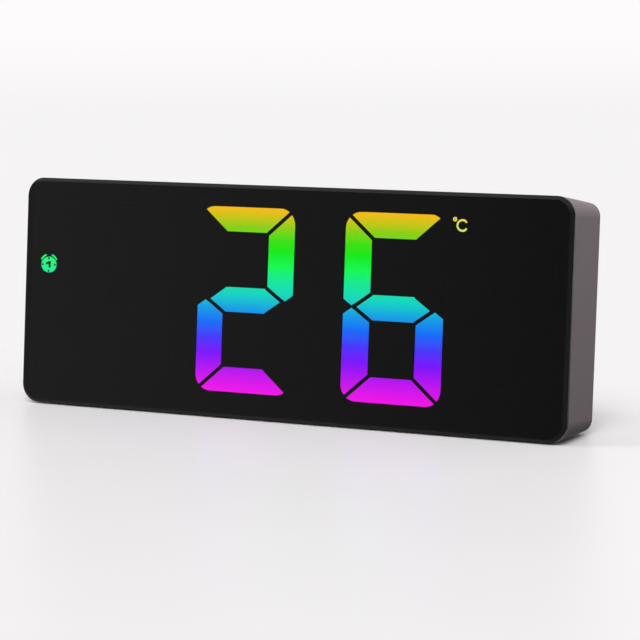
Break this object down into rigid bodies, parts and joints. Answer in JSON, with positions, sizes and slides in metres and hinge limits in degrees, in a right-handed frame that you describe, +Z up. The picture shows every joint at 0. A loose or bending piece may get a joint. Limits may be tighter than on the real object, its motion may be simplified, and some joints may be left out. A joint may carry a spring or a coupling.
{
  "type": "digital desk clock",
  "caption": "Free-standing digital desk clock: smoked front window over a colour-graded LED bar display, grey housing, rear keys, hinged battery door and power inlet.",
  "frame": {"origin": "on the table, under the middle of the clock's bounding box", "axes": "+X along the width to the reader's right, +Y from the front window to the rear, +Z up"},
  "size_m": [0.1704, 0.0278, 0.0653],
  "materials": {
    "smoked_acrylic": "polished",
    "grey_abs": "fine matt",
    "black_abs": "spark texture",
    "key_abs": "satin",
    "mask_black": "matt",
    "reflector_white": "matt",
    "tape_foam": "foam",
    "foot_rubber": "matt",
    "lit_bars": "diffusing",
    "dark_bars": "diffusing",
    "lit_green": "diffusing",
    "lit_yellow": "diffusing",
    "chip_resin": "clear resin",
    "board_laminate": "solder resist",
    "black_moulding": "moulded",
    "bright_steel": "nickel plated",
    "spring_steel": "nickel plated",
    "screw_steel": "zinc plated",
    "can_aluminium": "bright can",
    "cell_wrap": "printed film over the can",
    "lead_red": "soft vinyl",
    "lead_black": "soft vinyl"
  },
  "bodies": {
    "clock": {"alarm_icon": "lit_green", "battery_cell_1": "cell_wrap", "battery_cell_2": "cell_wrap", "battery_cell_3": "cell_wrap", "board_screws": "screw_steel", "buzzer": "black_moulding", "clock_crystal": "bright_steel", "colon_dots": "dark_bars", "contact_plates": "bright_steel", "contact_springs": "spring_steel", "controller_chip": "black_moulding", "cover_screws": "screw_steel", "display_mask": "mask_black", "front_housing": "grey_abs", "front_window": "smoked_acrylic", "inlet_shell": "bright_steel", "inlet_tongue": "black_moulding", "lead_negative": "lead_black", "lead_positive": "lead_red", "light_chips": "chip_resin", "lit_tens_bars": "lit_bars", "lit_units_bars": "lit_bars", "main_board": "board_laminate", "rear_cover": "black_abs", "reflector_block": "reflector_white", "rubber_feet": "foot_rubber", "supply_capacitor": "can_aluminium", "switch_bodies": "black_moulding", "temperature_sensor": "black_moulding", "unit_mark": "lit_yellow", "unlit_bars": "dark_bars", "window_tape": "tape_foam"},
    "door": {"battery_door": "black_abs"},
    "mode_key": {"key_mode": "key_abs", "plunger_mode": "black_moulding"},
    "set_key": {"key_set": "key_abs", "plunger_set": "black_moulding"},
    "up_key": {"key_up": "key_abs", "plunger_up": "black_moulding"},
    "down_key": {"key_down": "key_abs", "plunger_down": "black_moulding"},
    "alarm_key": {"key_alarm": "key_abs", "plunger_alarm": "black_moulding"}
  },
  "joints": [
    {"name": "door_hinge", "type": "hinge", "parent": "clock", "child": "door", "pos_m": [-0.0343, 0.01212, 0.05164], "axis": [1, 0, 0], "range_deg": [0, 75]},
    {"name": "mode_press", "type": "slide", "parent": "clock", "child": "mode_key", "axis": [0, -0.9972, 0.075], "range_m": [0, 0.0006], "stiffness_N_per_m": 1500},
    {"name": "set_press", "type": "slide", "parent": "clock", "child": "set_key", "axis": [0, -0.9972, 0.075], "range_m": [0, 0.0006], "stiffness_N_per_m": 1500},
    {"name": "up_press", "type": "slide", "parent": "clock", "child": "up_key", "axis": [0, -0.9972, 0.075], "range_m": [0, 0.0006], "stiffness_N_per_m": 1500},
    {"name": "down_press", "type": "slide", "parent": "clock", "child": "down_key", "axis": [0, -0.9972, 0.075], "range_m": [0, 0.0006], "stiffness_N_per_m": 1500},
    {"name": "alarm_press", "type": "slide", "parent": "clock", "child": "alarm_key", "axis": [0, -0.9972, 0.075], "range_m": [0, 0.0006], "stiffness_N_per_m": 1500}
  ]
}
